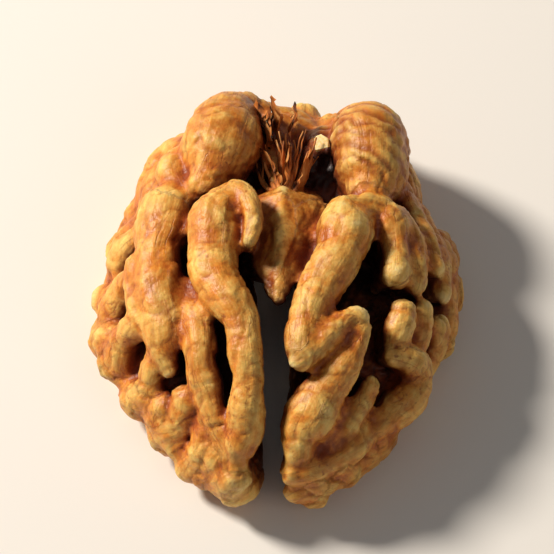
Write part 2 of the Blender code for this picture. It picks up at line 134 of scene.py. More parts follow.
RIGHT_FOLDS = [
    # zigzag: down beside the groove, back out to a thin tip, down again
    [(0.265, 0.135, 1.9), (0.24, 0.07, 2.0), (0.205, -0.01, 1.85), (0.165, -0.09, 1.85),
     (0.13, -0.18, 1.65), (0.11, -0.26, 1.45), (0.105, -0.32, 1.2)],
    [(0.105, -0.335, 1.1), (0.16, -0.30, 1.1), (0.22, -0.255, 0.95), (0.285, -0.205, 0.75),
     (0.31, -0.205, 0.6)],
    [(0.325, -0.24, 0.7), (0.30, -0.32, 1.05), (0.25, -0.40, 1.45), (0.195, -0.475, 1.85),
     (0.155, -0.55, 1.9), (0.125, -0.63, 1.65), (0.12, -0.70, 1.2)],
    [(0.425, -0.43, 0.8, 0.9), (0.405, -0.51, 1.0, 0.8), (0.345, -0.60, 1.05, 0.8),
     (0.275, -0.68, 0.9, 0.7)],
    [(0.49, -0.55, 0.7, 2.2), (0.47, -0.63, 0.9, 2.0), (0.40, -0.70, 0.9, 1.7)],
    # lip across the free end
    [(0.10, -0.80, 1.0), (0.17, -0.795, 1.15), (0.28, -0.76, 1.2), (0.40, -0.69, 1.1, 0.2),
     (0.47, -0.63, 0.8, 0.6)],
    [(0.14, -0.91, 1.0), (0.22, -0.89, 1.2), (0.32, -0.87, 1.1, 0.3)],
    # two hanging lobes beside the deep hollow
    [(0.34, 0.17, 1.0), (0.40, 0.17, 1.35), (0.455, 0.11, 1.35), (0.455, 0.03, 1.1),
     (0.45, -0.045, 1.15)],
    [(0.48, 0.17, 0.9, 0.3), (0.545, 0.09, 0.95, 0.2), (0.56, -0.06, 0.9, 0.3)],
    # small ridges and the ear-shaped fold below them
    [(0.51, -0.165, 0.95, 0.2), (0.515, -0.22, 1.05, 0.2), (0.515, -0.275, 0.8, 0.5)],
    [(0.645, -0.14, 0.9, 0.2), (0.655, -0.20, 1.0, 0.1), (0.65, -0.25, 0.8, 0.4)],
    [(0.51, -0.325, 0.8, 0.3), (0.59, -0.325, 1.1, -0.3), (0.67, -0.375, 1.35, -0.6),
     (0.675, -0.455, 1.5, -0.7), (0.61, -0.545, 1.4, -0.4), (0.54, -0.60, 0.95, 0.1)],
    # thin upright plates along the outer side
    [(0.61, 0.38, 0.8, 0.5), (0.62, 0.27, 0.85, 0.3), (0.65, 0.16, 0.8, 0.2), (0.665, 0.03, 0.75, 0.2)],
    [(0.71, 0.32, 0.8, 0.4), (0.75, 0.21, 0.8, 0.3), (0.765, 0.08, 0.8, 0.2), (0.765, -0.05, 0.75, 0.3)],
    [(0.80, -0.17, 1.0, 0.4), (0.86, -0.27, 1.1, 0.5), (0.88, -0.38, 1.1, 0.8)],
    [(0.83, 0.24, 1.0, 0.2), (0.87, 0.11, 1.05, 0.2), (0.89, -0.02, 1.0, 0.2), (0.92, -0.13, 1.0, 0.2)],
    [(0.61, -0.69, 1.2, 0.6), (0.72, -0.63, 1.3, 0.6), (0.82, -0.57, 1.2, 0.5)],
    [(0.44, -0.83, 1.2, 0.2), (0.55, -0.80, 1.3, 0.2), (0.66, -0.75, 1.2, 0.2)],
]
JOINED_END_FOLDS = [
    # left rounded bulge with its smaller neighbours
    [(-0.20, 0.70, 2.0, -0.6), (-0.215, 0.60, 2.4, -1.2), (-0.22, 0.50, 2.7, -1.3),
     (-0.22, 0.41, 2.5, -0.8), (-0.24, 0.33, 1.9, 0.0), (-0.27, 0.27, 1.4, 0.5)],
    [(-0.40, 0.44, 1.2, 0.2), (-0.415, 0.36, 1.45), (-0.375, 0.28, 1.1, 0.5)],
    [(-0.40, 0.62, 1.4, 0.7), (-0.49, 0.55, 1.5, 0.7), (-0.57, 0.43, 1.4, 0.9), (-0.60, 0.32, 1.2, 1.3)],
    [(-0.32, 0.77, 1.6, 0.4), (-0.46, 0.73, 1.6, 0.7), (-0.60, 0.62, 1.4, 0.9)],
    # right, larger bulge with its smaller neighbours
    [(0.395, 0.67, 2.0, -1.1), (0.395, 0.585, 2.4, -1.9), (0.40, 0.50, 2.75, -2.2),
     (0.40, 0.415, 2.75, -1.6), (0.385, 0.33, 2.3, -0.6), (0.365, 0.27, 1.7, 0.2)],
    [(0.58, 0.60, 1.3, 0.7), (0.66, 0.52, 1.3, 0.7), (0.72, 0.43, 1.2, 0.7)],
    [(0.36, 0.82, 1.6, 0.1), (0.50, 0.79, 1.6, 0.3), (0.62, 0.71, 1.4, 0.5), (0.73, 0.60, 1.3, 0.5)],
]
# Ribs that run over the rim: (compass angle, [(reach, turn, radius, extra sink), ...]).
RIBS = [
    (-104, [(0.84, 0, 1.2), (1.0, -2, 1.4), (1.34, 2, 1.3)]),
    (-116, [(0.80, 3, 1.1, 0.3), (0.98, 0, 1.5), (1.34, -3, 1.3)]),
    (-136, [(0.78, -2, 1.3, 0.5), (0.97, 0, 1.6, 0.3), (1.34, 4, 1.4)]),
    (-149, [(0.82, 3, 1.2, 0.3), (0.98, 0, 1.5, 0.2), (1.34, 0, 1.3)]),
    (-167, [(0.84, 2, 1.3, 0.5), (1.0, -1, 1.6, 0.3), (1.34, -4, 1.4)]),
    (-182, [(0.86, 1, 1.2, 1.6), (1.0, 2, 1.5, 1.3), (1.34, 0, 1.3)]),
    (-199, [(0.80, -4, 1.3, 1.8), (0.98, 0, 1.6, 1.7), (1.34, 3, 1.4)]),
    (-212, [(0.72, -4, 1.3, 1.6), (0.88, 0, 1.5, 1.8), (1.02, 1, 1.5, 1.5), (1.34, 2, 1.4)]),
    (-232, [(0.74, 3, 1.3, 1.2), (0.88, 0, 1.5, 1.2), (1.02, -1, 1.5, 1.0), (1.34, 0, 1.3)]),
    (-247, [(0.82, 0, 1.5, 0.3), (0.94, 0, 1.7, 0.2), (1.06, 2, 1.5), (1.34, 3, 1.3)]),
    (-257, [(0.78, -2, 1.6, -0.2), (0.94, 0, 1.8), (1.1, 0, 1.4)]),
    (-75, [(0.86, 0, 1.1), (1.0, 0, 1.3), (1.34, -2, 1.3)]),
    (-63, [(0.84, -3, 1.2), (0.98, 0, 1.5), (1.34, 3, 1.3)]),
    (-45, [(0.86, 3, 1.2, 1.2), (0.97, 0, 1.4, 0.9), (1.34, -2, 1.4)]),
    (-31, [(0.88, -3, 1.1, 1.7), (0.98, 1, 1.3, 1.2), (1.34, 0, 1.3)]),
    (-13, [(0.92, 0, 1.1, 0.7), (1.0, 1, 1.4, 0.4), (1.34, 3, 1.4)]),
    (3, [(0.92, 1, 1.2), (1.0, -1, 1.4), (1.34, 0, 1.3)]),
    (15, [(0.90, 2, 1.2), (1.0, 0, 1.5), (1.34, -3, 1.4)]),
    (33, [(0.84, 2, 1.3, 0.5), (0.94, 0, 1.6, 0.4), (1.05, 0, 1.5, 0.2), (1.34, -1, 1.3)]),
    (47, [(0.84, -3, 1.4, 0.4), (0.92, 0, 1.6, 0.3), (1.04, 1, 1.6, 0.2), (1.34, 0, 1.3)]),
    (61, [(0.76, 0, 1.7, -0.3), (0.90, 0, 1.9, -0.1), (1.06, -2, 1.5), (1.34, -3, 1.3)]),
    (80, [(0.86, 2, 1.1, 1.8), (0.96, 0, 1.3, 1.2), (1.1, 0, 1.3)]),
]
# Lip turned in under each side, out from the groove's free end to the joined end.
LIPS = [
    [(-0.32, -1.38, 1.2), (-0.66, -1.20, 1.3), (-1.02, -0.90, 1.2), (-1.26, -0.50, 1.4),
     (-1.36, -0.06, 1.3), (-1.30, 0.36, 1.4), (-1.08, 0.76, 1.3), (-0.72, 1.10, 1.4),
     (-0.30, 1.26, 1.3)],
    [(0.28, -1.38, 1.2), (0.66, -1.20, 1.3), (1.04, -0.90, 1.2), (1.28, -0.46, 1.4),
     (1.36, 0.0, 1.3), (1.28, 0.42, 1.4), (1.06, 0.80, 1.3), (0.74, 1.08, 1.4),
     (0.40, 1.24, 1.3)],
]
# Solid masses the folds stand on: centre, half sizes.
CORES = [
    ((-6.0, -4.2, 5.0), (4.0, 8.6, 2.6)),
    ((6.1, -4.4, 5.0), (4.0, 8.6, 2.6)),
    ((-5.4, 7.4, 6.0), (4.6, 5.6, 3.0)),
    ((5.8, 7.2, 6.0), (4.8, 5.8, 3.0)),
    ((0.3, 5.2, 6.2), (4.8, 4.4, 2.4)),
    ((0.4, 11.6, 6.0), (3.4, 3.4, 2.2)),
]
# Thick strands left in the hollow between the two bulges: x, y, z, radius.
HOLLOW_STRANDS = [
    [(-1.2, 12.6, 7.6, 0.7), (-0.8, 11.0, 8.6, 0.55), (-0.2, 9.2, 9.0, 0.5), (0.1, 7.0, 9.8, 0.6)],
    [(3.3, 12.0, 7.4, 0.8), (3.0, 10.4, 8.5, 0.9), (2.6, 9.0, 8.4, 0.7)],
    [(-0.6, 13.6, 6.6, 1.3), (0.2, 11.0, 6.8, 1.5), (0.6, 8.0, 7.2, 1.6)],
    [(-2.0, 9.6, 8.6, 0.6), (-1.0, 8.6, 8.4, 0.6), (0.2, 7.6, 8.8, 0.6)],
]
# Back of the bridge between the lobes, seen from the inner side.
BRIDGE_BACK = [(-3.6, 9.6, 4.4, 1.6), (-1.2, 8.4, 4.9, 1.9), (1.4, 8.4, 4.9, 1.9),
               (3.8, 9.4, 4.4, 1.6)]
# Keeled wedges that fill the groove next to the bridge, back to tip:
# x, y, z, half width, half height.
EDGE_RADIUS = 0.5
KEELS = [
    [(0.6, 7.2, 8.2, 2.2, 0.9), (0.6, 5.0, 10.2, 3.5, 2.0), (0.5, 2.2, 10.8, 3.1, 1.7),
     (0.35, -0.8, 11.1, 1.9, 1.1), (0.3, -3.4, 11.2, 0.4, 0.4)],
]
# Soft folds across the inner side: where each starts and ends along the kernel.
CROSS_FOLDS = ((-9.6, -10.4), (-5.4, -4.6), (-1.0, 0.2), (3.2, 4.4), (7.6, 9.0))
CROSS_REACH = 0.74


# Folds of the right lobe with fine wrinkles across them: the thrown-out tip and its neighbour.
WRINKLED_ACROSS = (len(LEFT_FOLDS) + 1, len(LEFT_FOLDS) + 3)
# The right bulge is wrapped in arcs about this point, between these two distances.
ARC_CENTRE = (4.8, 5.6, 8.6)
ARC_REACH = (1.4, 8.6)
# Dried shreds of the wall that stood between the lobes, in the hollow: where the fan of
# strands starts and how far it spreads, and the papery flaps as (lower edge, upper edge).
FAN_FOOT = (0.5, 5.4, 8.9)
FAN_TOP = (0.6, 9.6, 8.2)
FAN_SPREAD = 2.3
FAN_STRANDS = 26
FLAPS = [
    ([(1.5, 5.6, 6.4), (2.0, 7.4, 6.2), (2.3, 9.6, 6.0)],
     [(1.3, 5.7, 8.7), (2.0, 7.2, 9.0), (2.2, 9.2, 8.9)]),
    ([(-1.7, 12.6, 6.2), (-1.1, 11.0, 6.4), (-0.6, 9.4, 6.6)],
     [(-1.5, 13.0, 8.6), (-0.7, 11.4, 9.2), (-0.3, 9.6, 8.8)]),
    ([(-0.6, 13.2, 6.2), (-0.1, 11.6, 6.4), (0.2, 10.2, 6.6)],
     [(-0.4, 13.4, 8.6), (0.3, 11.8, 9.0), (0.3, 10.4, 8.4)]),
    ([(1.0, 13.0, 6.0), (1.1, 11.6, 6.2), (1.0, 10.4, 6.4)],
     [(1.4, 13.0, 8.0), (1.3, 11.8, 8.4), (1.1, 10.6, 7.8)]),
    ([(0.1, 5.5, 6.4), (-0.5, 7.4, 6.2), (-1.5, 9.4, 6.2)],
     [(0.4, 5.5, 8.9), (-0.2, 7.4, 9.2), (-1.1, 9.2, 8.6)]),
    ([(0.5, 5.5, 6.4), (0.7, 7.6, 6.2), (0.6, 9.8, 6.2)],
     [(0.6, 5.5, 8.9), (0.8, 7.6, 9.3), (0.8, 9.6, 8.8)]),
    ([(6.0, 5.2, 6.4), (6.9, 4.8, 6.2), (7.8, 4.9, 6.0)],
     [(5.6, 5.9, 9.3), (6.7, 5.7, 9.1), (7.9, 5.6, 8.4)]),
]
FLAP_THICKNESS = 0.14
FLAP_STEPS = 6
# Chip of broken flesh beside the right bulge: centre, half sizes.
CHIP = ((3.15, 9.6, 8.0), (0.65, 0.8, 0.6))
# Places in the hollow painted nearly black as shade: centre and radius.
SHADED_PITS = [((2.9, 8.4, 5.6), 2.6), ((-1.7, 11.6, 6.6), 2.2)]
# Stage, in metres: half side of the board; lights as (name, place, width, watts, colour).
BOARD_REACH = 0.6
LIGHTS = (
    ("key_softbox", (-0.33, 0.17, 0.30), 0.10, 3.35, "FFF4E6"),
    ("fill_softbox", (0.30, -0.25, 0.35), 0.30, 0.22, "FFF4E8"),
)
ROOM_LIGHT = 0.14
CAMERA_LENS = 369.0
CAMERA_DISTANCE = 0.40
CAMERA_ELEVATION = 63
# Browner places of the coat: centre, radius, strength.
STAINS = [
    ((1.2, 9.8, 6.4), 4.8, 0.9),
    ((-3.4, 10.6, 9.0), 3.6, 0.25),
    ((6.8, 10.0, 9.6), 4.6, 0.30),
    ((9.8, 3.0, 4.6), 4.6, 0.40),
    ((1.2, 3.0, 6.4), 2.6, 0.10),
    ((-6.0, 0.0, 6.6), 2.4, 0.35),
]


# ---------------------------------------------------------------- sizes and colours

class WalnutSizes(bpy.types.PropertyGroup):
    skin_voxel: FloatProperty(
        name="Skin step", description="Step of the grown skin", default=0.215 * MM, unit="LENGTH")
    bead_length: FloatProperty(
        name="Bead length", description="Usual distance between two creases across a fold",
        default=2.6 * MM, unit="LENGTH")
    bead_depth: FloatProperty(
        name="Bead depth", description="How far the beads of a fold swell out",
        default=0.20 * MM, unit="LENGTH")
    crease_depth: FloatProperty(
        name="Crease depth", description="Depth of the creases between beads",
        default=0.16 * MM, unit="LENGTH")
    wrinkle_depth: FloatProperty(
        name="Wrinkle depth", description="Depth of the wrinkles of the dried coat",
        default=0.14 * MM, unit="LENGTH")
    line_depth: FloatProperty(
        name="Line depth", description="Depth of the fine lines that run along a fold",
        default=0.05 * MM, unit="LENGTH")
    seed: IntProperty(name="Seed", description="Seed of every random choice", default=LUMP_SEED)


class WalnutColours(bpy.types.PropertyGroup):
    # Cream and straw paint a highlight on the crests; straw is also the darker grain of the broken
    # flesh.
    cream: StringProperty(name="Cream", description="Coat stretched over a crest", default="F6DF9C")
    straw: StringProperty(name="Straw", description="Pale coat near a crest", default="EABC62")
    tan: StringProperty(name="Tan", description="Most of the coat", default="D98C32")
    amber: StringProperty(name="Amber", description="Coat between patches", default="C26A20")
    # Rust also ends the crest ramp, painting shade low on the folds.
    rust: StringProperty(name="Rust", description="Darker patches of coat", default="933F11")
    # Stain also paints shade into every crease of the coat.
    stain: StringProperty(name="Stain", description="Coat browned in places", default="8A4214")
    # Shade and the colour below paint the shade low on the folds and nearly black between them; the
    # colour below also darkens the septum's streaks.
    shade: StringProperty(name="Shade", description="Coat low on a fold", default="722509")
    deep_shade_and_streak: StringProperty(name="Bark", description="Coat deep between folds", default="2E0E07")
    septum: StringProperty(name="Septum", description="Dried wall between the lobes", default="BE6E2C")
    frayed: StringProperty(name="Frayed", description="Frayed edge of the dried wall", default="DFA765")
    flesh: StringProperty(name="Flesh", description="Broken flesh", default="EFDCA8")
    board: StringProperty(name="Board", description="Board under the kernel", default="EBE9E5")


def sizes():
    return bpy.context.scene.walnut_sizes


def colours():
    return bpy.context.scene.walnut_colours


def linear(hex_colour):
    """sRGB hex to the linear colour that a shader socket takes."""
    parts = [int(hex_colour[at:at + 2], 16) / 255 for at in (0, 2, 4)]
    return tuple(c / 12.92 if c <= 0.04045 else ((c + 0.055) / 1.055) ** 2.4 for c in parts) + (1.0,)


# ---------------------------------------------------------------- routes and ropes

def half_width_at(along):
    """Half width of the outline, drawn in towards both ends."""
    share = along / HALF_LENGTH
    free_end = FREE_END_TAPER * max(0.0, -share) ** 1.6
    joined_end = JOINED_END_TAPER * max(0.0, share) ** 1.6
    return HALF_WIDTH * (1.0 - free_end - joined_end)


def on_dome(across, along, depth=0.0):
    """Point of the dome at a place on its chart, sunk by depth along the normal.

    Close to the groove the sinking stays upright, so that its two walls don't meet.
    """
    turn = math.atan2(along, across)
    tilt = math.hypot(across, along) * math.pi / 2
    flat = math.sin(tilt)
    unit = Vector((math.cos(turn) * flat, math.sin(turn) * flat, math.cos(tilt)))
    rise = CROWN_HEIGHT if unit.z >= 0 else UNDER_DEPTH
    y = HALF_LENGTH * unit.y
    place = Vector((half_width_at(y) * unit.x, y, RIM_HEIGHT + rise * unit.z))
    lean = abs(unit.x) * unit.x / HALF_WIDTH
    normal = Vector((lean, unit.y / HALF_LENGTH, unit.z / rise)).normalized()
    return place - normal * depth


def finer(rows, steps=3):
    """Catmull-Rom points between the rows of a route, row values included."""
    found = []
    last = len(rows) - 1
    for index in range(last):
        before, start, end, after = (rows[max(index - 1, 0)], rows[index],
                                     rows[index + 1], rows[min(index + 2, last)])
        for step in range(steps):
            t = step / steps
            found.append([0.5 * (2 * b + (c - a) * t + (2 * a - 5 * b + 4 * c - d) * t ** 2
                                 + (3 * b - a - 3 * c + d) * t ** 3)
                          for a, b, c, d in zip(before, start, end, after)])
    found.append(list(rows[-1]))
    return found


def lumpy(place, radius):
    """Shift and swell a route point a little, the way grown tissue wanders."""
    swell = noise.noise(place * 0.42 + Vector((3.1, 7.7, 1.3)))
    return place + noise.noise_vector(place * 0.30) * LUMP_SHIFT, radius * (1 + LUMP_SWELL * swell)


class Growth:
    """Ropes, masses and wedges of one kernel, and the centre lines they were grown on."""

    def __init__(self):
        self.objects = []
        self.lines = []

    def link(self, name, data):
        item = bpy.data.objects.new(name, data)
        bpy.context.scene.collection.objects.link(item)
        self.objects.append(item)

    def curve(self, rows, roundness=6):
        """Round-sectioned curve through rows of (x, y, z, radius)."""
        data = bpy.data.curves.new("fold", "CURVE")
        data.dimensions = "3D"
        spline = data.splines.new("POLY")
        spline.points.add(len(rows) - 1)
        for point, (x, y, z, radius) in zip(spline.points, rows):
            point.co = (x, y, z, 1.0)
            point.radius = radius
        data.bevel_depth = 1.0
        data.bevel_resolution = roundness
        data.use_fill_caps = True
        self.link("fold", data)

    def ball(self, centre, half_sizes, segments=20):
        ball = bmesh.new()
        bmesh.ops.create_uvsphere(ball, u_segments=segments, v_segments=segments // 2, radius=1.0)
        bmesh.ops.scale(ball, vec=half_sizes, verts=ball.verts)
        bmesh.ops.translate(ball, vec=centre, verts=ball.verts)
        self.solid(ball, "mass")

    def solid(self, shape, name):
        mesh = bpy.data.meshes.new(name)
        shape.to_mesh(mesh)
        shape.free()
        self.link(name, mesh)

    def rope(self, rows, is_crest=True):
        """Lumpy round-ended rope through rows of (x, y, z, radius)."""
        grown = []
        for x, y, z, radius in rows:
            place, swollen = lumpy(Vector((x, y, z)), radius)
            grown.append((*place, swollen))
        self.curve(grown)
        for x, y, z, radius in (grown[0], grown[-1]):
            self.ball((x, y, z), (radius, radius, radius))
        if is_crest:
            self.lines.append(grown)

    def fold(self, route, walls=3, thinning=0.75):
        """Ridge along a dome route, with thinner ropes under it that make its walls."""
        rows = finer([row if len(row) == 4 else (*row, 0.0) for row in route])
        for layer in range(walls + 1):
            rope = []
            for across, along, radius, sink in rows:
                depth = radius + sink + layer * min(0.9 * radius, WALL_STEP)
                rope.append((*on_dome(across, along, depth), radius * thinning ** layer))
            self.rope(rope, is_crest=layer == 0)

    def rib(self, angle, route):
        """Rib that climbs from the flank over the rim and turns in under it."""
        rows = []
        for reach, turn, *rest in route:
            heading = math.radians(angle + turn)
            rows.append((reach * math.cos(heading), reach * math.sin(heading), *rest))
        self.fold(rows, walls=1, thinning=0.9)

    def keel(self, stations):
        """Wedge of four-sided sections with one edge up, softened by a rope along it."""
        wedge = bmesh.new()
        rings = []
        for x, y, z, half_width, half_height in stations:
            ring = [(x, y, z + half_height), (x - half_width, y, z), (x, y, z - 2 * half_height),
                    (x + half_width, y, z)]
            rings.append([wedge.verts.new(corner) for corner in ring])
        wedge.faces.new(rings[0])
        wedge.faces.new(rings[-1])
        for ring, following in zip(rings, rings[1:]):
            for index in range(4):
                after = (index + 1) % 4
                wedge.faces.new((ring[index], ring[after], following[after], following[index]))
        bmesh.ops.recalc_face_normals(wedge, faces=wedge.faces)
        self.solid(wedge, "keel")
        self.curve([(x, y, z + half_height - EDGE_RADIUS, EDGE_RADIUS)
                    for x, y, z, half_width, half_height in stations])

    def flap(self, lower, upper):
        """Thin crumpled sheet between two edges."""
        sheet = bmesh.new()
        rows = []
        for low, high in zip(finer(lower, FLAP_STEPS), finer(upper, FLAP_STEPS)):
            row = []
            for step in range(FLAP_STEPS + 1):
                place = Vector(low).lerp(Vector(high), step / FLAP_STEPS)
                place += (noise.noise_vector(place * 0.9) * 0.45
                          + noise.noise_vector(place * 2.6) * 0.16)
                row.append(sheet.verts.new(place))
            rows.append(row)
        for row, following in zip(rows, rows[1:]):
            for step in range(FLAP_STEPS):
                sheet.faces.new((row[step], row[step + 1], following[step + 1], following[step]))
        bmesh.ops.solidify(sheet, geom=sheet.faces[:], thickness=FLAP_THICKNESS)
        bmesh.ops.recalc_face_normals(sheet, faces=sheet.faces)
        self.solid(sheet, "flap")

    def fan(self, chooser):
        """Strands that spread from the back of the wedge over the hollow."""
        foot, top = Vector(FAN_FOOT), Vector(FAN_TOP)
        for index in range(FAN_STRANDS):
            side = 2 * index / (FAN_STRANDS - 1) - 1
            start = foot + Vector((0.5 * side, chooser.uniform(-0.4, 0.2),
                                   chooser.uniform(-0.3, 0.1)))
            end = top + Vector((FAN_SPREAD * side, chooser.uniform(-1.2, 1.6) - 1.1 * side * side,
                                chooser.uniform(-0.9, 0.7)))
            sag = Vector((chooser.uniform(-0.3, 0.3), 0.0, chooser.uniform(-1.5, -0.3)))
            thickness = chooser.uniform(0.10, 0.22)
            rows = []
            for step in range(13):
                t = step / 12
                place = start.lerp(end, t) + sag * (4 * t * (1 - t))
                place += noise.noise_vector(place * 1.1) * 0.18
                rows.append((*place, thickness * (1 - 0.7 * t)))
            self.curve(rows, roundness=2)

    def chip(self, chooser, centre, half_sizes):
        """Small broken piece with flat faces, the hull of scattered points."""
        hull = bmesh.new()
        for _ in range(16):
            way = Vector([chooser.gauss(0, 1) for _ in range(3)]).normalized()
            hull.verts.new(Vector(centre) + way * Vector(half_sizes))
        made = bmesh.ops.convex_hull(hull, input=hull.verts[:])
        spare = list(set(made["geom_interior"] + made["geom_unused"]))
        bmesh.ops.delete(hull, geom=spare, context="VERTS")
        self.solid(hull, "flesh_chip")
        return self.objects.pop()

    def underside(self):
        """Inner side: turned-in lips, groove margins and soft cross folds."""
        for route in LIPS:
            self.fold(route, walls=1, thinning=0.9)
        for side in (-1, 1):
            margin = [(side * 2.3, -13.4, 3.8, 1.1), (side * 2.1, -11.0, 3.6, 1.3),
                      (side * 2.4, -7.0, 3.5, 1.2), (side * 2.2, -3.0, 3.6, 1.4),
                      (side * 2.6, 1.0, 3.6, 1.3), (side * 3.0, 4.4, 3.8, 1.4)]
            self.rope(finer(margin))
            for start, end in CROSS_FOLDS:
                middle = (start + end) / 2 + 0.8
                reach = CROSS_REACH * half_width_at(end) * math.sqrt(1 - (end / HALF_LENGTH) ** 2)
                cross = [(side * 2.8, start, 4.4, 1.2), (side * reach * 0.6, middle, 4.2, 1.4),
                         (side * reach, end, 4.0, 1.3)]
                self.rope(finer(cross))
        self.rope(finer(BRIDGE_BACK))

    def gathered(self, name):
        """Everything made so far in one mesh object, in millimetres."""
        bpy.context.view_layer.update()
        graph = bpy.context.evaluated_depsgraph_get()
        body = bmesh.new()
        for item in self.objects:
            mesh = bpy.data.meshes.new_from_object(item.evaluated_get(graph))
            body.from_mesh(mesh)
            bpy.data.meshes.remove(mesh)
            bpy.data.objects.remove(item)
        self.objects.clear()
        bmesh.ops.remove_doubles(body, verts=body.verts, dist=1e-5)
        self.solid(body, name)
        return self.objects.pop()

    def fused(self, name, step):
        """One closed skin around everything made so far, set down on its rest plane."""
        skinned = self.gathered(name)
        skinned.data.transform(Matrix.Translation((*CENTRE_SHIFT, -REST_CUT)))
        fuse = skinned.modifiers.new("fuse", "REMESH")
        fuse.mode = "VOXEL"
        fuse.voxel_size = step
        bpy.context.view_layer.update()
        graph = bpy.context.evaluated_depsgraph_get()
        skinned.data = bpy.data.meshes.new_from_object(skinned.evaluated_get(graph))
        skinned.data.name = name
        skinned.modifiers.clear()
        return skinned


# ---------------------------------------------------------------- skin in numbers

class Skin:
    """Points, edges and normals of a skin, in millimetres, as arrays."""

    def __init__(self, mesh):
        self.mesh = mesh
        count = len(mesh.vertices)
        self.points = np.empty((count, 3), np.float32)
        mesh.vertices.foreach_get("co", self.points.ravel())
        self.edges = np.empty((len(mesh.edges), 2), np.int32)
        mesh.edges.foreach_get("vertices", self.edges.ravel())
        self.degree = np.bincount(self.edges.ravel(), minlength=count).astype(np.float32)

    def average(self, values):
        """Mean of each point's neighbours."""
        first, second = self.edges.T
        total = np.zeros_like(values)
        for column in range(values.shape[1]):
            total[:, column] = (
                np.bincount(first, values[second, column], len(values))
                + np.bincount(second, values[first, column], len(values)))
        return total / self.degree[:, None]

    def relax(self, rounds, share=0.5):
        for _ in range(rounds):
            self.points += (self.average(self.points) - self.points) * share

    def normals(self):
        self.write()
        found = np.empty((len(self.points), 3), np.float32)
        self.mesh.vertices.foreach_get("normal", found.ravel())
        return found

    def push(self, amounts):
        self.points += self.normals() * amounts[:, None].astype(np.float32)

    def bulge(self, rounds):
        """How far each point stands out of its neighbourhood, in millimetres."""
        smooth = self.points.copy()
        for _ in range(rounds):
            smooth += (self.average(smooth) - smooth) * 0.5
        return ((self.points - smooth) * self.normals()).sum(axis=1)

    def write(self):
        self.mesh.vertices.foreach_set("co", self.points.ravel())
        self.mesh.update()

    def paint(self, name, values):
        """Store one number, or three, per point for the material to read."""
        kind, field = ("FLOAT", "value") if values.ndim == 1 else ("FLOAT_VECTOR", "vector")
        layer = self.mesh.attributes.new(name, kind, "POINT")
        layer.data.foreach_set(field, values.astype(np.float32).ravel())


def fold_places(skin, lines):
    """For each point: distance along its nearest fold, distance round it, fold number."""
    tree = KDTree(sum(len(line) for line in lines))
    places = []
    for number, line in enumerate(lines):
        travelled = 0.0
        for index, (x, y, z, radius) in enumerate(line):
            here = Vector((x + CENTRE_SHIFT[0], y + CENTRE_SHIFT[1], z - REST_CUT))
            before = Vector(line[max(index - 1, 0)][:3])
            after = Vector(line[min(index + 1, len(line) - 1)][:3])
            if index:
                travelled += (Vector((x, y, z)) - before).length
            tree.insert(here, len(places))
            places.append((here, (after - before).normalized(), travelled, radius, number))
    tree.balance()
    found = np.empty((len(skin.points), 3), np.float32)
    for row, point in enumerate(skin.points):
        _, index, _ = tree.find(point)
        here, tangent, travelled, radius, number = places[index]
        offset = Vector(point) - here
        ahead = offset.dot(tangent)
        side = tangent.cross(Vector((0, 0, 1)))
        outward = offset - tangent * ahead
        angle = math.atan2(outward.dot(side), outward.z)
        found[row] = (travelled + ahead, angle * radius, number)
    return found


def furrow(value, width):
    """1 in the middle of a furrow where value crosses zero, falling to 0 at its width."""
    return max(0.0, 1 - abs(value) / width) ** 2


def ripple(value, spacing):
    """1 along evenly spaced furrows, 0 halfway between them."""
    return (0.5 + 0.5 * math.cos(2 * math.pi * value / spacing)) ** 1.6


def beads(skin, places, length, crease_share):
    """Beads that swell along the folds, with a crease here and there across them."""
    amounts = np.empty(len(skin.points))
    for row, (along, around, number) in enumerate(places):
        here = Vector((along / length, around / (1.6 * length), number * 3.7))
        swell = noise.noise(here)
        across = furrow(noise.noise(here * 0.8 + Vector((5.1, 1.7, 2.3))), 0.10)
        amounts[row] = swell - crease_share * across
    return amounts


def wrinkles(skin, places):
    """Wrinkles of the dried coat: all over, across two folds and round the right bulge."""
    creases = np.empty(len(skin.points))
    swells = np.empty(len(skin.points))
    middle = Vector(ARC_CENTRE)
    low, high = ARC_REACH
    for row, (point, (along, around, number)) in enumerate(zip(skin.points, places)):
        place = Vector(point)
        wander = noise.noise(place * 0.8)
        depth = 0.65 * furrow(noise.noise(place * 0.55 + Vector((9, 2, 5))), 0.20)
        # Short creases across every fold, 2 or 3 mm apart.
        across = noise.noise(Vector((along * 0.75, around * 0.22, number * 7.1)))
        depth = max(depth, 0.42 * furrow(across, 0.22))
        if int(number) in WRINKLED_ACROSS:
            strength = 0.45 + 0.5 * noise.noise(place * 0.7 + Vector((3, 8, 1)))
            depth = max(depth, strength * ripple(along + 0.5 * around + 0.9 * wander, 0.80))
        away = (place - middle).length
        if low < away < high and place.x > 3.0 and place.y > 6.6 and place.z > 5.0:
            fade = min(1.0, (away - low) / 1.4, (high - away) / 0.8)
            strength = 0.9 + 0.5 * noise.noise(place * 0.4)
            depth = max(depth * (1 - fade), fade * strength * ripple(away + 0.5 * wander, 0.85))
        creases[row] = depth
        swells[row] = noise.noise(place * 1.3)
    return creases, swells


def fine_lines(places):
    """Fine lines along each fold, deeper low on its sides."""
    amounts = np.empty(len(places))
    for row, (along, around, number) in enumerate(places):
        line = noise.noise(Vector((along * 0.30, around * 1.9, number * 5.3)))
        amounts[row] = line * (0.45 + min(1.0, 0.5 * abs(around)))
    return amounts


def stain(skin):
    """How brown the coat is in the places listed, 0 to 1."""
    amounts = np.zeros(len(skin.points))
    for centre, radius, strength in STAINS:
        away = np.linalg.norm(skin.points - np.array(centre), axis=1) / radius
        amounts += strength * np.clip(1.25 - away, 0.0, 1.0)
    return np.clip(amounts, 0.0, 1.0)


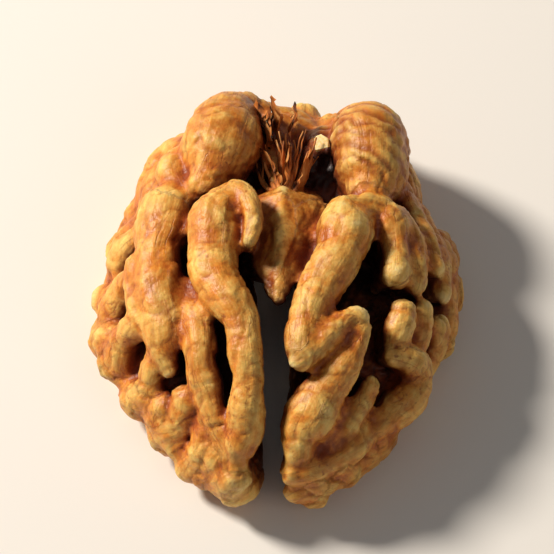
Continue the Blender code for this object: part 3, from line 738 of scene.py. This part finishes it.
def openness(skin, rays=24, reach=9.0):
    """Share of the sky that each point sees, 0 deep in a fold to 1 on a crest; less in the pits. The
    coat's painted shade is read from it.
    """
    mesh = skin.mesh
    tree = BVHTree.FromPolygons([Vector(p) for p in skin.points],
                                [tuple(face.vertices) for face in mesh.polygons])
    normals = skin.normals()
    golden = math.pi * (3 - math.sqrt(5))
    sky = []
    for index in range(rays):
        height = 1 - (index + 0.5) / rays
        width = math.sqrt(1 - height * height)
        turn = golden * index
        sky.append(Vector((width * math.cos(turn), width * math.sin(turn), height)))
    seen = np.empty(len(skin.points), np.float32)
    for row, (point, normal) in enumerate(zip(skin.points, normals)):
        up = Vector(normal)
        start = Vector(point) + up * 0.06
        turn = Vector((0, 0, 1)).rotation_difference(up)
        free = 0.0
        total = 0.0
        for ray in sky:
            total += ray.z
            if tree.ray_cast(start, turn @ ray, reach)[0] is None:
                free += ray.z
        seen[row] = free / total
    # Painted shade: the sky share drops further in the pits, so the coat there turns nearly black.
    for centre, radius in SHADED_PITS:
        away = np.linalg.norm(skin.points - np.array(centre), axis=1) / radius
        seen *= 1 - np.clip(1.4 - away, 0.0, 0.85)
    return seen


def settle(skin):
    """Flatten whatever reaches below the board onto it."""
    skin.points[:, 2] = np.maximum(skin.points[:, 2], 0.0)


# ---------------------------------------------------------------- materials

def add_node(tree, kind, settings=None, links=None):
    """Add a shader node, set its properties and sockets, and link its inputs."""
    node = tree.nodes.new(kind)
    for name, value in (settings or {}).items():
        if isinstance(name, int) or name in node.inputs:
            node.inputs[name].default_value = value
        else:
            setattr(node, name, value)
    for socket, source in (links or {}).items():
        tree.links.new(source, node.inputs[socket])
    return node


def ramp(node, stops):
    """Give a colour ramp its stops, as (position, colour) pairs."""
    elements = node.color_ramp.elements
    while len(elements) > len(stops):
        elements.remove(elements[-1])
    while len(elements) < len(stops):
        elements.new(1.0)
    for element, (position, colour) in zip(elements, stops):
        element.position = position
        element.color = colour


def new_material(name):
    """A material with its node tree and its shader."""
    material = bpy.data.materials.new(name)
    material.use_nodes = True
    return material, material.node_tree, material.node_tree.nodes["Principled BSDF"]


def coat_tones(tree, patches, crest, lines, paint):
    """Colour of the clean coat: patches of about 2 mm, with painted highlight paling it towards cream
    where a fold stands out and painted shade darkening it towards rust where it sinks, under lines along
    each fold about 0.6 mm apart."""
    # Painted highlight and shade: the crest value pales the coat where a fold stands out and darkens it
    # where it sinks.
    crest_highlight = add_node(tree, "ShaderNodeMath", {"operation": "MULTIPLY_ADD", 1: 1.25, 2: -0.86},
                      {0: crest})
    height = add_node(tree, "ShaderNodeMath", {"operation": "MULTIPLY_ADD", 1: 1.25},
                      {0: patches, 2: crest_highlight.outputs[0]})
    tones = add_node(tree, "ShaderNodeValToRGB", None, {"Fac": height.outputs[0]})
    ramp(tones, [(0.0, linear(paint.rust)), (0.18, linear(paint.amber)), (0.36, linear(paint.tan)),
                 (0.62, linear(paint.straw)), (0.95, linear(paint.cream))])
    line_tone = add_node(tree, "ShaderNodeMapRange",
                         {"From Min": 0.3, "From Max": 0.7, "To Min": 0.62, "To Max": 1.16},
                         {"Value": lines})
    return add_node(tree, "ShaderNodeMix", {"data_type": "RGBA", "blend_type": "MULTIPLY", 0: 0.75},
                    {6: tones.outputs["Color"], 7: line_tone.outputs[0]}).outputs[2]


def coat_stains(tree, coat, patches, stained, paint):
    """Rust-brown stains, broken up by the patches."""
    broken = add_node(tree, "ShaderNodeMapRange",
                      {"From Min": 0.3, "From Max": 0.7, "To Min": 0.95, "To Max": 0.45},
                      {"Value": patches})
    share = add_node(tree, "ShaderNodeMath", {"operation": "MULTIPLY"},
                     {0: stained, 1: broken.outputs[0]})
    return add_node(tree, "ShaderNodeMix", {"data_type": "RGBA", 7: linear(paint.stain)},
                    {0: share.outputs[0], 6: coat}).outputs[2]


def coat_freckles(tree, coat, place, gathering, paint):
    """Freckles about 0.3 mm across, gathered in places."""
    freckles = add_node(tree, "ShaderNodeTexNoise", {"Scale": 1 / (0.34 * MM), "Detail": 2.0},
                        {"Vector": place})
    fleck = add_node(tree, "ShaderNodeMapRange",
                     {"From Min": 0.58, "From Max": 0.72, "To Min": 0.0, "To Max": 0.7},
                     {"Value": freckles.outputs["Fac"]})
    gathered = add_node(tree, "ShaderNodeMapRange", {"From Min": 0.42, "From Max": 0.62},
                        {"Value": gathering})
    share = add_node(tree, "ShaderNodeMath", {"operation": "MULTIPLY"},
                     {0: fleck.outputs[0], 1: gathered.outputs[0]})
    return add_node(tree, "ShaderNodeMix", {"data_type": "RGBA", 7: linear(paint.rust)},
                    {0: share.outputs[0], 6: coat}).outputs[2]


def coat_veins(tree, grain, gathering):
    """Where the veins are: thin wandering lines, mostly along the folds, broken in places."""
    way = add_node(tree, "ShaderNodeMapping", {"Scale": (0.10, 0.42, 1.0)}, {"Vector": grain})
    wander = add_node(tree, "ShaderNodeTexNoise", {"Scale": 1.0, "Detail": 3.0, "Distortion": 0.8},
                      {"Vector": way.outputs["Vector"]})
    middle = add_node(tree, "ShaderNodeMath", {"operation": "SUBTRACT", 1: 0.5},
                      {0: wander.outputs["Fac"]})
    away = add_node(tree, "ShaderNodeMath", {"operation": "ABSOLUTE"}, {0: middle.outputs[0]})
    thin = add_node(tree, "ShaderNodeMapRange",
                    {"From Min": 0.0, "From Max": 0.014, "To Min": 1.0, "To Max": 0.0},
                    {"Value": away.outputs[0]})
    gaps = add_node(tree, "ShaderNodeMapRange",
                    {"From Min": 0.45, "From Max": 0.62, "To Min": 0.0, "To Max": 0.5},
                    {"Value": gathering})
    return add_node(tree, "ShaderNodeMath", {"operation": "MULTIPLY"},
                    {0: thin.outputs[0], 1: gaps.outputs[0]}).outputs[0]


def coat_painted_shade(tree, coat, patches, seen, creased, paint):
    """Painted shade, with some of the coat's own darker brown in its crevices: brown in every crease,
    rust low on the folds, nearly black between them.
    """
    low = add_node(tree, "ShaderNodeMath", {"operation": "MULTIPLY_ADD", 1: 0.24},
                   {0: patches, 2: seen}).outputs[0]
    # Painted shade in three steps: creases towards the stain brown, places that see less sky towards the
    # shade colour, the deepest towards the near-black one.
    for value, start, end, most, colour in (
            (creased, 0.22, 1.0, 0.85, paint.stain),
            (low, 0.88, 0.46, 0.85, paint.shade),
            (low, 0.50, 0.22, 1.0, paint.deep_shade_and_streak)):
        share = add_node(tree, "ShaderNodeMapRange",
                         {"From Min": start, "From Max": end, "To Min": 0.0, "To Max": most},
                         {"Value": value})
        coat = add_node(tree, "ShaderNodeMix", {"data_type": "RGBA", 7: linear(colour)},
                        {0: share.outputs[0], 6: coat}).outputs[2]
    return coat


def dried_seed_coat():
    """Walnut seed coat, dried on the kernel: a thin waxy skin with fine veins and freckles, painted
    golden as highlight on the crests of the folds, and painted as shade, with some of its own darker
    brown, rust low on their sides and nearly black between them."""
    material, tree, shader = new_material("walnut_seed_coat_dried")
    paint = colours()
    place = add_node(tree, "ShaderNodeTexCoord").outputs["Object"]
    read = {name: add_node(tree, "ShaderNodeAttribute", {"attribute_name": name})
            for name in ("grain", "crest", "openness", "stain", "crease")}
    grain = read["grain"].outputs["Vector"]
    crest, seen, stained, creased = (
        read[name].outputs["Fac"] for name in ("crest", "openness", "stain", "crease"))
    patches = add_node(tree, "ShaderNodeTexNoise",
                       {"Scale": 1 / (1.8 * MM), "Detail": 6.0, "Roughness": 0.66,
                        "Distortion": 0.5}, {"Vector": place}).outputs["Fac"]
    drawn_out = add_node(tree, "ShaderNodeMapping", {"Scale": (0.22, 1.7, 1.0)}, {"Vector": grain})
    lines = add_node(tree, "ShaderNodeTexNoise", {"Scale": 1.0, "Detail": 4.0, "Roughness": 0.65},
                     {"Vector": drawn_out.outputs["Vector"]}).outputs["Fac"]
    # Freckles and veins gather in areas of about 2.6 mm.
    gathering = add_node(tree, "ShaderNodeTexNoise", {"Scale": 1 / (2.6 * MM), "Detail": 2.0},
                         {"Vector": place}).outputs["Fac"]
    vein = coat_veins(tree, grain, gathering)

    coat = coat_tones(tree, patches, crest, lines, paint)
    coat = coat_stains(tree, coat, patches, stained, paint)
    coat = coat_freckles(tree, coat, place, gathering, paint)
    coat = add_node(tree, "ShaderNodeMix", {"data_type": "RGBA", 7: linear(paint.rust)},
                    {0: vein, 6: coat}).outputs[2]
    coat = coat_painted_shade(tree, coat, patches, seen, creased, paint)
    tree.links.new(coat, shader.inputs["Base Color"])

    # Waxy where it was rubbed, duller between.
    sheen = add_node(tree, "ShaderNodeMapRange",
                     {"From Min": 0.3, "From Max": 0.7, "To Min": 0.38, "To Max": 0.58},
                     {"Value": patches})
    tree.links.new(sheen.outputs[0], shader.inputs["Roughness"])
    shader.inputs["IOR"].default_value = 1.46
    shader.inputs["Subsurface Weight"].default_value = 0.15
    shader.inputs["Subsurface Radius"].default_value = (1.0, 0.36, 0.12)
    shader.inputs["Subsurface Scale"].default_value = 0.6 * MM

    # Skin grain of about 0.35 mm, with the lines and veins pressed in.
    pores = add_node(tree, "ShaderNodeTexNoise", {"Scale": 1 / (0.35 * MM), "Detail": 3.0},
                     {"Vector": place})
    pressed = add_node(tree, "ShaderNodeMath", {"operation": "MULTIPLY_ADD", 1: -0.8},
                       {0: vein, 2: pores.outputs["Fac"]})
    relief = add_node(tree, "ShaderNodeMath", {"operation": "MULTIPLY_ADD", 1: 1.1},
                      {0: lines, 2: pressed.outputs[0]})
    bump = add_node(tree, "ShaderNodeBump", {"Strength": 0.9, "Distance": 0.08 * MM},
                    {"Height": relief.outputs[0]})
    tree.links.new(bump.outputs["Normal"], shader.inputs["Normal"])
    return material


def dried_septum():
    """Septum of the walnut, dried: papery brown wall tissue, streaked, pale where it frays."""
    material, tree, shader = new_material("walnut_septum_dried")
    place = add_node(tree, "ShaderNodeTexCoord").outputs["Object"]
    # Streaks about 0.25 mm apart, drawn out along the strands.
    drawn_out = add_node(tree, "ShaderNodeMapping", {"Scale": (1.0, 0.3, 0.6)}, {"Vector": place})
    streaks = add_node(tree, "ShaderNodeTexNoise", {"Scale": 1 / (0.5 * MM), "Detail": 4.0},
                       {"Vector": drawn_out.outputs["Vector"]}).outputs["Fac"]
    tones = add_node(tree, "ShaderNodeValToRGB", None, {"Fac": streaks})
    ramp(tones, [(0.30, linear(colours().deep_shade_and_streak)), (0.48, linear(colours().septum)),
                 (0.70, linear(colours().frayed))])
    tree.links.new(tones.outputs["Color"], shader.inputs["Base Color"])
    shader.inputs["Roughness"].default_value = 0.62
    shader.inputs["IOR"].default_value = 1.45
    bump = add_node(tree, "ShaderNodeBump", {"Strength": 0.5, "Distance": 0.05 * MM},
                    {"Height": streaks})
    tree.links.new(bump.outputs["Normal"], shader.inputs["Normal"])
    return material


def broken_flesh():
    """Walnut flesh, broken: dense oily cream, faintly translucent, with a grainy break."""
    material, tree, shader = new_material("walnut_flesh_broken")
    place = add_node(tree, "ShaderNodeTexCoord").outputs["Object"]
    # Grains of about 0.2 mm.
    grains = add_node(tree, "ShaderNodeTexNoise", {"Scale": 1 / (0.2 * MM), "Detail": 3.0},
                      {"Vector": place}).outputs["Fac"]
    tones = add_node(tree, "ShaderNodeValToRGB", None, {"Fac": grains})
    ramp(tones, [(0.25, linear(colours().straw)), (0.6, linear(colours().flesh))])
    tree.links.new(tones.outputs["Color"], shader.inputs["Base Color"])
    shader.inputs["Roughness"].default_value = 0.5
    shader.inputs["IOR"].default_value = 1.47
    shader.inputs["Subsurface Weight"].default_value = 0.3
    shader.inputs["Subsurface Radius"].default_value = (1.0, 0.7, 0.35)
    shader.inputs["Subsurface Scale"].default_value = 0.5 * MM
    bump = add_node(tree, "ShaderNodeBump", {"Strength": 0.6, "Distance": 0.05 * MM},
                    {"Height": grains})
    tree.links.new(bump.outputs["Normal"], shader.inputs["Normal"])
    return material


def painted_board():
    """Smooth white-painted board: plain, matt and pale."""
    material, _, shader = new_material("painted_board_matt")
    shader.inputs["Base Color"].default_value = linear(colours().board)
    shader.inputs["Roughness"].default_value = 0.75
    return material


# ---------------------------------------------------------------- operators

class WALNUT_OT_grow_kernel(bpy.types.Operator):
    """Grow the folded kernel half with its seed coat"""

    bl_idname = "walnut.grow_kernel"
    bl_label = "Grow kernel half"

    def execute(self, context):
        noise.seed_set(sizes().seed)
        growth = Growth()
        for centre, half_sizes in CORES:
            growth.ball(centre, half_sizes, segments=40)
        for route in LEFT_FOLDS + RIGHT_FOLDS + JOINED_END_FOLDS:
            growth.fold(route)
        for angle, route in RIBS:
            growth.rib(angle, route)
        for stations in KEELS:
            growth.keel(stations)
        for rows in HOLLOW_STRANDS:
            growth.rope(finer(rows))
        growth.underside()
        kernel = growth.fused("kernel_half", sizes().skin_voxel / MM)
        skin = Skin(kernel.data)
        skin.relax(4)
        places = fold_places(skin, growth.lines)
        chosen = sizes()
        creasing = chosen.crease_depth / chosen.bead_depth
        skin.push(beads(skin, places, chosen.bead_length / MM, creasing) * chosen.bead_depth / MM)
        skin.relax(1, 0.4)
        creases, swells = wrinkles(skin, places)
        skin.push((0.35 * swells - creases) * chosen.wrinkle_depth / MM)
        skin.push(fine_lines(places) * chosen.line_depth / MM)
        settle(skin)
        skin.write()
        skin.paint("grain", places)
        # Sky share drives the coat's painted shade low on the folds and between them.
        skin.paint("openness", openness(skin, 24))
        # Crest height drives the coat's painted highlight on the crests.
        skin.paint("crest", np.clip(0.45 + skin.bulge(60) * 0.7, 0.0, 1.0))
        skin.paint("stain", stain(skin))
        # The creases are darkened in the coat as painted shade.
        skin.paint("crease", np.clip(creases, 0.0, 1.0))
        finish_piece(kernel, dried_seed_coat())
        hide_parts("kernel")
        return {"FINISHED"}


class WALNUT_OT_lay_shreds(bpy.types.Operator):
    """Lay the dried septum shreds in the hollow, with the chip of flesh beside them"""

    bl_idname = "walnut.lay_shreds"
    bl_label = "Lay septum shreds"

    def execute(self, context):
        noise.seed_set(sizes().seed)
        growth = Growth()
        chooser = random.Random(sizes().seed)
        growth.fan(chooser)
        for lower, upper in FLAPS:
            growth.flap(lower, upper)
        shreds = growth.gathered("septum_shreds")
        finish_piece(shreds, dried_septum())
        chip = growth.chip(chooser, *CHIP)
        finish_piece(chip, broken_flesh())
        chip.data.shade_flat()
        return {"FINISHED"}


def finish_piece(piece, material):
    """Bring a piece to metres, shade it, give it its material and tie it to the kernel."""
    piece.data.transform(Matrix.Scale(MM, 4))
    piece.data.shade_smooth()
    piece.data.materials.append(material)
    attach(piece, "root")


class WALNUT_OT_set_stage(bpy.types.Operator):
    """Lay the board, place the lights and aim the camera"""

    bl_idname = "walnut.set_stage"
    bl_label = "Set stage"

    def execute(self, context):
        lay_board()
        light_stage()
        aim_camera()
        return {"FINISHED"}


def lay_board():
    shape = bmesh.new()
    bmesh.ops.create_grid(shape, x_segments=1, y_segments=1, size=BOARD_REACH)
    mesh = bpy.data.meshes.new("board")
    shape.to_mesh(mesh)
    shape.free()
    board = bpy.data.objects.new("board", mesh)
    bpy.context.scene.collection.objects.link(board)
    mesh.materials.append(painted_board())


def add_light(name, place, size, watts, colour):
    data = bpy.data.lights.new(name, "AREA")
    data.shape = "DISK"
    data.size = size
    data.energy = watts
    data.color = linear(colour)[:3]
    lamp = bpy.data.objects.new(name, data)
    lamp.location = place
    lamp.rotation_euler = Vector(place).to_track_quat("Z", "Y").to_euler()
    bpy.context.scene.collection.objects.link(lamp)


def light_stage():
    for light in LIGHTS:
        add_light(*light)
    world = bpy.data.worlds.new("studio")
    world.use_nodes = True
    sky = world.node_tree.nodes["Background"]
    sky.inputs["Color"].default_value = linear("FFFFFF")
    sky.inputs["Strength"].default_value = ROOM_LIGHT
    bpy.context.scene.world = world
    bpy.context.scene.view_settings.view_transform = "Standard"


def aim_camera():
    data = bpy.data.cameras.new("camera")
    data.lens = CAMERA_LENS
    data.clip_start = 0.02
    camera = bpy.data.objects.new("camera", data)
    elevation = math.radians(CAMERA_ELEVATION)
    low, high = (Vector(corner) for corner in CAD_BOX)
    target = (low + high) / 2
    away = Vector((0.0, -math.cos(elevation), math.sin(elevation)))
    camera.location = target + away * CAMERA_DISTANCE
    camera.rotation_euler = away.to_track_quat("Z", "Y").to_euler()
    bpy.context.scene.collection.objects.link(camera)
    bpy.context.scene.camera = camera


class WALNUT_PT_sidebar(bpy.types.Panel):
    bl_label = "Walnut kernel half"
    bl_idname = "WALNUT_PT_sidebar"
    bl_space_type = "VIEW_3D"
    bl_region_type = "UI"
    bl_category = "Walnut"

    def draw(self, context):
        for group in (context.scene.walnut_sizes, context.scene.walnut_colours):
            for name in group.__annotations__:
                self.layout.prop(group, name)
        for operator in OPERATORS:
            self.layout.operator(operator.bl_idname)


OPERATORS = (WALNUT_OT_grow_kernel, WALNUT_OT_lay_shreds, WALNUT_OT_set_stage)
CLASSES = (WalnutSizes, WalnutColours, *OPERATORS, WALNUT_PT_sidebar)


def register():
    for item in CLASSES:
        bpy.utils.register_class(item)
    bpy.types.Scene.walnut_sizes = PointerProperty(type=WalnutSizes)
    bpy.types.Scene.walnut_colours = PointerProperty(type=WalnutColours)


def unregister():
    del bpy.types.Scene.walnut_colours
    del bpy.types.Scene.walnut_sizes
    for item in reversed(CLASSES):
        bpy.utils.unregister_class(item)


def main():
    register()
    bpy.ops.walnut.grow_kernel()
    bpy.ops.walnut.lay_shreds()
    bpy.ops.walnut.set_stage()


if __name__ == "__main__":
    main()
